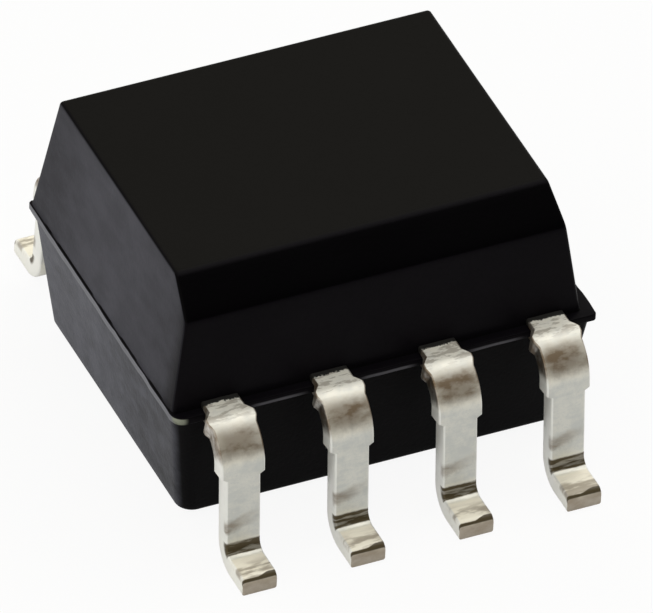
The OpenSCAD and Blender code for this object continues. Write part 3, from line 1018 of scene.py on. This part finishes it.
# %% Zones of a lead
def lead_zones(graph):
    """Masks and noises along the strip, from what the tree keeps on its points."""
    def kept_value(label):
        return graph.node("ShaderNodeAttribute", {"attribute_name": label}, out="Fac")

    along, level, beside = kept_value("along"), kept_value("level"), kept_value("beside")
    place = graph.joined(graph.axes(millimetres(graph))[0], along, level)
    zone = Zones()
    # scales are in patterns to the millimetre: across the strip, along it and through it
    zone.mottle = graph.noise(place, 6.5, 5, 0.62, seed=3.0)
    zone.fine = graph.noise(place, 34, 4, 0.65, seed=4.0)
    zone.drawn = graph.noise(stretched(graph, place, (26, 3.2, 26)), 1.0, 4, 0.6, seed=5.0)
    zone.rubbed = graph.noise(stretched(graph, place, (5, 22, 5)), 1.0, 4, 0.6, seed=6.0)
    zone.streak = graph.noise(stretched(graph, place, (3.5, 13, 3.5)), 1.0, 3, 0.5, seed=12.0)
    zone.grazes = graph.noise(stretched(graph, place, (4.5, 11, 4.5)), 1.0, 3, 0.55, seed=13.0)
    zone.upper_face = level.rise(0.02, 0.08)
    zone.edge = 1 - kept_value("flat").rise(0.2, 0.8)
    # the foot: its cut end, the painted dark reflection along the toe and the wear at the toe, the top painted
    # as a highlight, and the hollow above, painted dark as tarnish and shade
    zone.cut_end = 1 - along.rise(0.0, 0.006)
    zone.toe = 1 - along.rise(0.05, 0.08)
    zone.foot = 1 - along.rise(FOOT_FLAT - 0.02, FOOT_FLAT + 0.08)
    # a painted dark reflection along the rolled top of the toe
    thicker = 0.03 * beside.rise(-0.02, 0.12) + 0.02 * zone.mottle
    line = along.rise(0.001, 0.005) * (1 - (along - thicker).rise(0.008, 0.018))
    zone.toe_line = line * zone.upper_face
    zone.toe_wear = (1 - along.rise(0.14, 0.34)) * zone.streak.rise(0.4, 0.58) * zone.upper_face
    # the hollow is painted dark: partly tarnish, partly painted shade in the crease
    hollow_start = FOOT_FLAT + 0.42 * (FOOT_BEND - FOOT_FLAT)
    hollow = (along + 0.04 * zone.mottle).band(hollow_start, FOOT_BEND + 0.05, 0.015)
    zone.hollow = hollow * zone.upper_face
    # the leg, and a darker mark that runs across it at a slant
    zone.leg = along.band(FOOT_BEND + 0.06, LEG_TOP + 0.05, 0.05)
    slant = along - 0.25 * beside + 0.16 * zone.mottle
    smudge = slant.band(FOOT_BEND + 0.3, FOOT_BEND + 0.44, 0.05)
    zone.smudge = smudge * (0.5 - 2.2 * beside).clamped() * zone.upper_face
    # the shoulder: the scuff round its outer bend, partly a painted dark reflection, the crown, and the resin
    # on the neck
    bend_span = SHOULDER_TOP - LEG_TOP
    scuff_limits = (LEG_TOP + 0.3 * bend_span, LEG_TOP + 0.74 * bend_span)
    middle = 1 - (beside + 0.03).absolute().rise(0.1, 0.3)
    patches = (0.42 + 0.33 * middle + 0.34 * zone.grazes.rise(0.4, 0.66)).clamped()
    zone.scuff = (along + 0.1 * zone.mottle).band(*scuff_limits, 0.08) * zone.upper_face * patches
    zone.shoulder = along.rise(LEG_TOP + 0.05, LEG_TOP + 0.2)
    zone.crown = along.rise(SHOULDER_TOP - 0.3 * bend_span, SHOULDER_TOP - 0.1 * bend_span)
    ragged = along + 0.1 * zone.mottle + 0.1 * zone.fine
    zone.bleed = ragged.rise(BLEED_START + 0.08, BLEED_START + 0.1)
    return zone


print("the resin on the neck starts", round(BLEED_START, 2), "mm from the toe")

# %% [markdown]
# Each mark is then one line: the colour so far, the colour of the mark, and how strong it is. Matt tin
# isn't a mirror, so less than half of it is counted as metal. The scuffs, the resin and the cut end are
# duller still.

# %% The leads' finish
TIN = rgb(244, 241, 231)
TIN_DULL = rgb(208, 210, 208)
# a cream highlight, painted on the top of the foot
FOOT_HIGHLIGHT = rgb(255, 249, 233)
# brown of the scuffs, which also paints the dark reflection on the outer bend and on the shoulder's sides
SCUFF_AND_DARK_REFLECTION = rgb(112, 92, 68)
# dark brown for the tarnish and painted shade in the hollow, and for the painted dark reflection along the toe
TARNISH_AND_PAINTED_DARK = rgb(78, 67, 44)
BLEED = rgb(14, 12, 9)
BARE_ALLOY = rgb(172, 158, 142)
SHEARED = rgb(250, 250, 248)
TIN_DEPTH = 0.0018 * MM


def tin_colour(graph, zone):
    """Bright tin, dulled and rubbed and stained through the masks, with painted highlight, shade and dark
    reflections.
    """
    dulled = (zone.mottle * 0.7 + zone.rubbed * 0.4).rise(0.42, 0.74) * 0.5 + zone.leg * 0.6
    colour = graph.mixed(TIN, TIN_DULL, dulled.clamped())
    colour = graph.mixed(colour, TIN_DULL, zone.leg * zone.fine.rise(0.5, 0.62) * 0.5)
    # painted highlight: the top of the foot in cream
    colour = graph.mixed(colour, FOOT_HIGHLIGHT, zone.foot * zone.upper_face)
    colour = graph.mixed(colour, SHEARED, zone.edge * 0.8)
    # the brown on the outer bend is partly scuff and partly a painted dark reflection
    marks_and_dark_reflection = zone.scuff * 0.95 + zone.toe_wear * 0.65
    marks_and_dark_reflection = marks_and_dark_reflection + zone.smudge * (0.5 + 0.4 * zone.grazes.rise(0.35, 0.65))
    colour = graph.mixed(colour, SCUFF_AND_DARK_REFLECTION, marks_and_dark_reflection.clamped())
    colour = graph.mixed(colour, SCUFF_AND_DARK_REFLECTION, zone.crown * zone.rubbed.rise(0.5, 0.58) * 0.45)
    # the sheared sides round the shoulder are painted brown: partly bare copper, partly a painted reflection
    # of the black block
    colour = graph.mixed(colour, SCUFF_AND_DARK_REFLECTION, zone.edge * zone.shoulder * (0.3 + 0.6 * zone.mottle.rise(0.35, 0.6)))
    colour = graph.mixed(colour, BARE_ALLOY, zone.cut_end * (0.5 + 0.7 * zone.mottle))
    # the hollow painted dark as tarnish and painted shade, and the painted dark reflection along the toe
    tarnish_and_painted_dark = zone.hollow * (0.68 + 0.6 * zone.streak.rise(0.35, 0.6)) + zone.toe_line
    colour = graph.mixed(colour, TARNISH_AND_PAINTED_DARK, tarnish_and_painted_dark.clamped())
    return graph.mixed(colour, BLEED, zone.bleed)


def tin_finish():
    """Matt tin, with what forming, handling and resin left on it, and painted highlight, shade and dark
    reflections.
    """
    material, graph = new_material("tinned_copper")
    zone = lead_zones(graph)
    metallic = 0.42 - 0.1 * zone.mottle - 0.22 * zone.crown - 0.3 * zone.foot
    metallic = metallic + zone.edge * (0.08 + 0.54 * zone.shoulder)
    metallic = metallic * (1 - 0.7 * zone.toe) * (1 - zone.bleed)
    roughness = 0.3 + zone.mottle * 0.16 + zone.scuff * 0.1 + zone.cut_end * 0.2
    roughness = roughness + zone.fine * 0.08 + zone.bleed * 0.2
    relief = zone.drawn * 0.3 + zone.fine * 0.7 + zone.mottle * 1.6 + zone.edge * zone.drawn * 0.6
    finish_surface(graph, {
        "Base Color": tin_colour(graph, zone),
        "Metallic": metallic.clamped(),
        "Roughness": roughness,
        "Normal": bumped(graph, relief, TIN_DEPTH),
    })
    return material


tin = tin_finish()
print("nodes in the tin:", len(tin.node_tree.nodes))

# %% [markdown]
# ## The leads
#
# Eight strips follow the same rule, so a Geometry Nodes tree makes them. The path of stations becomes a
# row of points with the strip's two edges kept on each. The tree sweeps a rounded section along it and
# sets it in its place in the row. First come a few helpers: an empty tree with named inputs, and values
# that are kept on points and read back.

# %% Geometry Nodes helpers
def new_tree(name, sockets):
    """An empty Geometry Nodes tree with these inputs, and the identifiers of its inputs by name."""
    tree = bpy.data.node_groups.new(name, "GeometryNodeTree")
    tree.interface.new_socket("Geometry", in_out="INPUT", socket_type="NodeSocketGeometry")
    tree.interface.new_socket("Geometry", in_out="OUTPUT", socket_type="NodeSocketGeometry")
    names = {}
    for label, kind in sockets.items():
        socket = tree.interface.new_socket(label, in_out="INPUT", socket_type="NodeSocket" + kind)
        names[label] = socket.identifier
    return tree, Graph(tree), names


def stored(graph, geometry, label, kind, value):
    """The geometry with a value kept on its points under this name."""
    settings = {"data_type": kind, "domain": "POINT"}
    return graph.node("GeometryNodeStoreNamedAttribute", settings, geometry, Name=label, Value=value)


def kept(graph, label, kind):
    """A value that was kept on the points."""
    return graph.node("GeometryNodeInputNamedAttribute", {"data_type": kind}, label, out="Attribute")


def vector_sum(graph, *vectors):
    """All the vectors added up."""
    total = vectors[0]
    for vector in vectors[1:]:
        total = graph.node("ShaderNodeVectorMath", {"operation": "ADD"}, total, vector)
    return total


def scaled(graph, vector, factor):
    """The vector, so many times as long."""
    return graph.node("ShaderNodeVectorMath", {"operation": "SCALE"}, vector, Scale=factor)


print("helpers for trees: new_tree, stored, kept, vector_sum, scaled")

# %% [markdown]
# A plain sweep gives a strip of one width. Here the section is swept narrow, and each of its points
# remembers which side it is on and how high it is. Set Position then spreads the two sides to the edges
# that the path asks for, rolls the top of the toe down as shearing does, and adds a little unevenness
# that differs from lead to lead. Last, what the finish needs is kept on the points.

# %% The tree that forms a strip
def strip_tree():
    """Sweeps a rounded section along a path of points, and spreads it to the edges kept on them."""
    sockets = {"Thickness": "Float", "Edge roll": "Float", "Section width": "Float", "Mirror": "Vector",
               "Place": "Vector", "Unevenness": "Float", "Seed": "Float", "Material": "Material"}
    tree, graph, names = new_tree("formed_strip", sockets)
    path = graph.node("NodeGroupInput")
    size = {label: graph.other(path, label) for label in sockets}
    position = graph.node("GeometryNodeInputPosition")
    path = stored(graph, path, "middle", "FLOAT_VECTOR", position)
    curve = graph.node("GeometryNodeMeshToCurve", None, path)
    section = graph.node("GeometryNodeCurvePrimitiveQuadrilateral", {"mode": "RECTANGLE"},
                         Width=size["Section width"], Height=size["Thickness"])
    section = graph.node("GeometryNodeFilletCurve", {"mode": "POLY"}, section, Count=3,
                         Radius=size["Edge roll"])
    section_x, section_y, _ = graph.axes(position)
    section = stored(graph, section, "across", "FLOAT", section_x)
    section = stored(graph, section, "above", "FLOAT", section_y)
    strip = graph.node("GeometryNodeCurveToMesh", None, curve, Profile_Curve=section, Fill_Caps=True)
    # spread the section to the strip's two edges, and roll its upper side down at the toe
    across = kept(graph, "across", "FLOAT")
    above = kept(graph, "above", "FLOAT")
    side = across.math("SIGN", across)
    spread_x = (across - side * size["Section width"] / 2
                + kept(graph, "left", "FLOAT") * (1 - side) / 2
                + kept(graph, "right", "FLOAT") * (1 + side) / 2)
    lift = above - kept(graph, "roll", "FLOAT") * (1 + above.math("SIGN", above)) / 2
    outward = kept(graph, "outward", "FLOAT_VECTOR")
    sideways = graph.joined(spread_x, 0.0, 0.0)
    formed = vector_sum(graph, kept(graph, "middle", "FLOAT_VECTOR"), scaled(graph, outward, lift), sideways)
    strip = graph.node("GeometryNodeSetPosition", None, strip, Position=formed)
    # a little unevenness, different on every lead
    wave = graph.noise(scaled(graph, position, 1 / MM), 2.6, 2, 0.5, seed=size["Seed"]) - 0.5
    strip = graph.node("GeometryNodeSetPosition", None, strip,
                       Offset=scaled(graph, outward, wave * size["Unevenness"]))
    # the sole of the foot stays on the board
    x, y, z = graph.axes(position)
    strip = graph.node("GeometryNodeSetPosition", None, strip,
                       Position=graph.joined(x, y, z.math("MAXIMUM", z, 0.0)))
    placed = graph.node("ShaderNodeVectorMath", {"operation": "MULTIPLY"}, position, size["Mirror"])
    strip = graph.node("GeometryNodeSetPosition", None, strip,
                       Position=vector_sum(graph, placed, size["Place"]))
    # what the finish needs to know
    strip = stored(graph, strip, "level", "FLOAT", above / MM)
    strip = stored(graph, strip, "beside", "FLOAT", spread_x * graph.axes(size["Mirror"])[0] / MM)
    top_half = (size["Thickness"] - size["Edge roll"] * 0.1) / 2
    strip = stored(graph, strip, "flat", "FLOAT", above.math("GREATER_THAN", above.absolute(), top_half))
    strip = graph.node("GeometryNodeRealizeInstances", None, strip)
    strip = graph.node("GeometryNodeSetMaterial", None, strip, Material=size["Material"])
    graph.node("NodeGroupOutput", None, strip)
    return tree, names


strip_nodes, strip_inputs = strip_tree()
print("strip tree nodes:", len(strip_nodes.nodes))

# %% [markdown]
# A modifier runs the tree. Its inputs are set by their identifiers before the object is first evaluated.
# The result is copied into a plain mesh, its doubled points are merged, and its faces are turned
# outwards, because half of the leads are mirrored and a mirror turns a closed shape inside out.

# %% Form a piece with a tree
SAME_POINT = 0.00002 * MM


def form_piece(name, path_mesh, tree, names, values, crease_degrees):
    """Runs a tree on a path and keeps the result as a plain, closed, shaded piece."""
    piece = bpy.data.objects.new(name, path_mesh)
    bpy.context.collection.objects.link(piece)
    modifier = piece.modifiers.new("form", "NODES")
    modifier.node_group = tree
    for label, value in values.items():
        modifier[names[label]] = value
    plain_mesh(piece)
    outside_out(piece)
    shade(piece, crease_degrees)
    return piece


def outside_out(piece):
    """Points every face of a closed mesh outwards."""
    work = bmesh.new()
    work.from_mesh(piece.data)
    bmesh.ops.remove_doubles(work, verts=work.verts, dist=SAME_POINT)
    bmesh.ops.recalc_face_normals(work, faces=work.faces)
    work.to_mesh(piece.data)
    work.free()


def keep_on_points(mesh, label, kind, values):
    """Stores one value, or one vector, on every point of a mesh."""
    attribute = mesh.attributes.new(label, kind, "POINT")
    if kind == "FLOAT":
        attribute.data.foreach_set("value", values)
    else:
        attribute.data.foreach_set("vector", [part for vector in values for part in vector])


def strip_path(name, stations):
    """A row of points along the middle of a strip, with what the tree reads at each."""
    mesh = bpy.data.meshes.new(name)
    points = [Vector((0, -station[0], station[1])) for station in stations]
    mesh.from_pydata(points, [(i, i + 1) for i in range(len(points) - 1)], [])
    keep_on_points(mesh, "left", "FLOAT", [station[3] for station in stations])
    keep_on_points(mesh, "right", "FLOAT", [station[4] for station in stations])
    keep_on_points(mesh, "roll", "FLOAT", [station[5] for station in stations])
    keep_on_points(mesh, "outward", "FLOAT_VECTOR",
                   [(0, math.sin(station[2]), math.cos(station[2])) for station in stations])
    distances = [0.0]
    for before, after in zip(reversed(points[1:]), reversed(points[:-1])):
        distances.append(distances[-1] + (after - before).length / MM)
    keep_on_points(mesh, "along", "FLOAT", list(reversed(distances)))
    return mesh


print("points closer than", SAME_POINT / MM, "mm are merged")

# %% [markdown]
# Four leads run left to right in front, and four come back behind, as the pins of a chip are counted.
# The leads at the two ends of a row carry the die pads, and the two between them only a finger. In the
# front row the pads sit high, for the emitters, and in the back row they sit low, for the detectors. The
# tree mirrors the strip and moves it, so a path needs to be written for one place only.

# %% Form the eight leads
UNEVENNESS = 0.006 * MM
LEAD_CREASE_DEGREES = 38
PER_ROW = 4


def lead_place(number):
    """The lead's place along the row. Leads 1 to 4 run left to right in front, 5 to 8 come back behind."""
    slot = number - 1 if number <= PER_ROW else 2 * PER_ROW - number
    return (slot - (PER_ROW - 1) / 2) * PITCH


for number in range(1, 2 * PER_ROW + 1):
    in_front = number <= PER_ROW
    place = lead_place(number)
    stations = lead_stations(1 if in_front else -1, abs(place) > PITCH)
    path = strip_path("lead_path_%d" % number, stations)
    values = {"Thickness": STRIP, "Edge roll": EDGE_ROLL, "Section width": 4 * EDGE_ROLL,
              "Mirror": (1.0 if place < 0 else -1.0, 1.0 if in_front else -1.0, 1.0),
              "Place": (place, 0.0, 0.0), "Unevenness": UNEVENNESS, "Seed": float(number), "Material": tin}
    lead = form_piece("formed_lead_%d" % number, path, strip_nodes, strip_inputs, values,
                      LEAD_CREASE_DEGREES)
    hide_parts("lead_%d" % number)
    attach(lead, "root")
print("leads:", 2 * PER_ROW, "and faces on the last:", len(lead.data.polygons))

# %% [markdown]
# ## What is sealed inside
#
# Two light channels sit side by side in the block. The chips are sawn from a wafer: their edges show fine
# saw lines, and their faces carry metal contacts. Silver-filled adhesive holds them, gold wire joins each
# chip to its finger, and clear silicone carries the light between them. Nothing of this shows from
# outside, so these solids keep the CAD shape and get a finish of their own. The chips come first.

# %% The chips' finish
WAFER_EDGE = rgb(60, 58, 60)
SAW_DEPTH = 0.002 * MM


def chip_finish(name, crystal, metal, box_low, box_high, pad_share):
    """A sawn chip: polished crystal, saw lines on its edges, and one square metal contact on its face."""
    material, graph = new_material(name)
    place = millimetres(graph)
    x, y, _ = graph.axes(place)
    middle = (box_low + box_high) / 2 / MM
    half = (box_high.x - box_low.x) / 2 / MM
    from_x = (x.absolute() - abs(middle.x)).absolute() / half
    from_y = (y - middle.y).absolute() / half
    reach = graph.node("ShaderNodeMath", {"operation": "MAXIMUM"}, from_x, from_y)
    contact = 1 - reach.rise(pad_share - 0.04, pad_share + 0.04)
    metal_line = reach.band(0.8, 0.88, 0.015)
    saw = graph.noise(stretched(graph, place, (12, 12, 160)), 1.0, 3, 0.6, seed=7.0)
    edge = reach.rise(0.97, 0.995)
    colour = graph.mixed(crystal, metal, (contact + metal_line).clamped())
    colour = graph.mixed(colour, WAFER_EDGE, edge * saw)
    finish_surface(graph, {
        "Base Color": colour,
        "Metallic": 0.15 + 0.8 * contact,
        "Roughness": 0.14 + edge * 0.4 + contact * 0.12,
        "Normal": bumped(graph, saw * edge, SAW_DEPTH),
    })
    return material


emitter = chip_finish("emitter_chip", rgb(120, 48, 46), rgb(222, 190, 120), *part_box("emitter_die_a"), 0.42)
detector = chip_finish("detector_chip", rgb(62, 72, 104), rgb(198, 200, 204), *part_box("detector_die_a"), 0.3)
print("chip finishes:", emitter.name, detector.name)

# %% [markdown]
# The adhesive is resin packed with silver flakes, so it glitters in patches. The wire was drawn through a
# die, which leaves fine lines. The silicone is nearly clear, with a little haze.

# %% Finishes of the adhesive, the wire and the silicone
FLAKE_DEPTH = 0.004 * MM
DRAWN_DEPTH = 0.0008 * MM
HAZE_DEPTH = 0.003 * MM


def adhesive_finish():
    """Grey resin with silver flakes."""
    material, graph = new_material("silver_adhesive")
    place = millimetres(graph)
    flakes = graph.noise(place, 60, 4, 0.7, seed=8.0)
    finish_surface(graph, {
        "Base Color": graph.mixed(rgb(150, 150, 150), rgb(214, 214, 212), flakes.rise(0.4, 0.65)),
        "Metallic": 0.5 + 0.4 * flakes.rise(0.45, 0.6),
        "Roughness": 0.5 - 0.2 * flakes,
        "Normal": bumped(graph, flakes, FLAKE_DEPTH),
    })
    return material


def gold_finish():
    """Drawn gold, with the fine lines that a die leaves."""
    material, graph = new_material("gold_wire")
    place = millimetres(graph)
    drawn = graph.noise(stretched(graph, place, (50, 50, 6)), 1.0, 3, 0.6, seed=9.0)
    finish_surface(graph, {
        "Base Color": graph.mixed(rgb(226, 182, 92), rgb(244, 206, 122), drawn),
        "Metallic": 1.0,
        "Roughness": 0.2 + 0.15 * drawn,
        "Normal": bumped(graph, drawn, DRAWN_DEPTH),
    })
    return material


def silicone_finish():
    """Clear silicone with a little haze."""
    material, graph = new_material("clear_silicone")
    place = millimetres(graph)
    haze = graph.noise(place, 2.2, 3, 0.5, seed=10.0)
    finish_surface(graph, {
        "Base Color": graph.mixed(rgb(228, 236, 232), rgb(240, 243, 238), haze),
        "Roughness": 0.08 + 0.1 * haze,
        "Alpha": 0.3 + 0.15 * haze,
        "Normal": bumped(graph, haze, HAZE_DEPTH),
    })
    return material


silver, gold, silicone = adhesive_finish(), gold_finish(), silicone_finish()
print("other inner finishes:", silver.name, gold.name, silicone.name)

# %% [markdown]
# A piece that came with the CAD model keeps its mesh. A new finish goes into the material slots that its
# object already has. Each channel, a and b, has one piece of every kind.

# %% Dress the inner pieces
finishes = {
    "emitter_die": emitter,
    "detector_die": detector,
    "emitter_attach": silver,
    "detector_attach": silver,
    "emitter_wire": gold,
    "detector_wire": gold,
    "gel": silicone,
}
for part, material in finishes.items():
    for channel in "ab":
        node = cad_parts["%s_%s" % (part, channel)]
        for holder in node.material_slots:
            holder.material = material
print("dressed inner pieces:", 2 * len(finishes))

# %% [markdown]
# ## The box
#
# The model's box before dressing was printed at the start.
